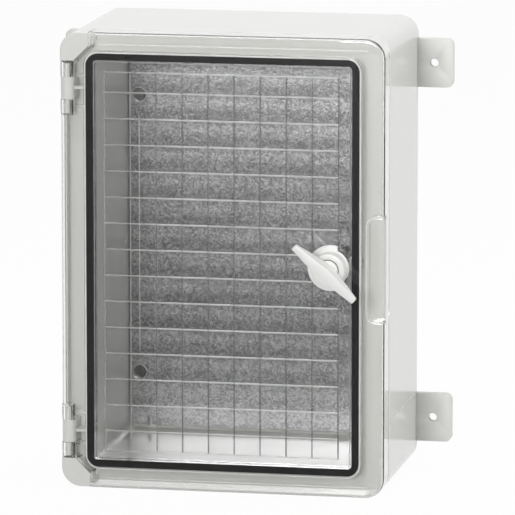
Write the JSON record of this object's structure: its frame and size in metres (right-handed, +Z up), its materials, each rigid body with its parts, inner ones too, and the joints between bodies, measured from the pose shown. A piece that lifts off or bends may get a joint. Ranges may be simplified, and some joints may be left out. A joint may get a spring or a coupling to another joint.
{
  "type": "plastic electrical cabinet",
  "caption": "Wall-mounted moulded plastic electrical cabinet with a clear hinged door, wing knob latch, sealing gasket, steel mounting plate and wall lugs.",
  "frame": {"origin": "midway between the four wall holes, on the wall plane", "axes": "+Z up, +X to the right seen from the front, +Y into the wall, so the door looks towards -Y"},
  "size_m": [0.306, 0.182, 0.35],
  "materials": {
    "body_plastic": "light grey ABS with a fine satin mould texture",
    "lug_plastic": "light grey moulded plastic, satin",
    "clear_plastic": "clear polycarbonate, polished",
    "seal_foam": "black foamed rubber, matt",
    "galvanised_sheet": "galvanised sheet steel with a fine spangle",
    "screw_steel": "zinc plated steel",
    "knob_plastic": "off-white moulded plastic, semi-gloss"
  },
  "bodies": {
    "cabinet": {"body_shell": "body_plastic", "mounting_plate": "galvanised_sheet", "plate_washers": "screw_steel", "plate_screws": "screw_steel", "lug_upper_left": "lug_plastic", "lug_upper_right": "lug_plastic", "lug_lower_left": "lug_plastic", "lug_lower_right": "lug_plastic", "lug_screws": "screw_steel", "hinge_pin_upper": "lug_plastic", "hinge_pin_lower": "lug_plastic", "latch_keeper": "body_plastic"},
    "door": {"door_panel": "clear_plastic", "door_gasket": "seal_foam", "lock_bush": "knob_plastic", "lock_seal": "seal_foam", "lock_nut": "knob_plastic"},
    "latch": {"wing_knob": "knob_plastic", "lock_spindle": "screw_steel", "spindle_o_ring": "seal_foam", "latch_cam": "galvanised_sheet", "cam_washer": "screw_steel", "cam_screw": "screw_steel"}
  },
  "joints": [
    {"name": "door_hinge", "type": "hinge", "parent": "cabinet", "child": "door", "pos_m": [-0.1195, -0.1445, 0], "axis": [0, 0, -1], "range_deg": [0, 170]},
    {"name": "latch_turn", "type": "hinge", "parent": "door", "child": "latch", "pos_m": [0.0845, -0.15, 0.0015], "axis": [0, -1, 0], "range_deg": [-49, 41]}
  ]
}
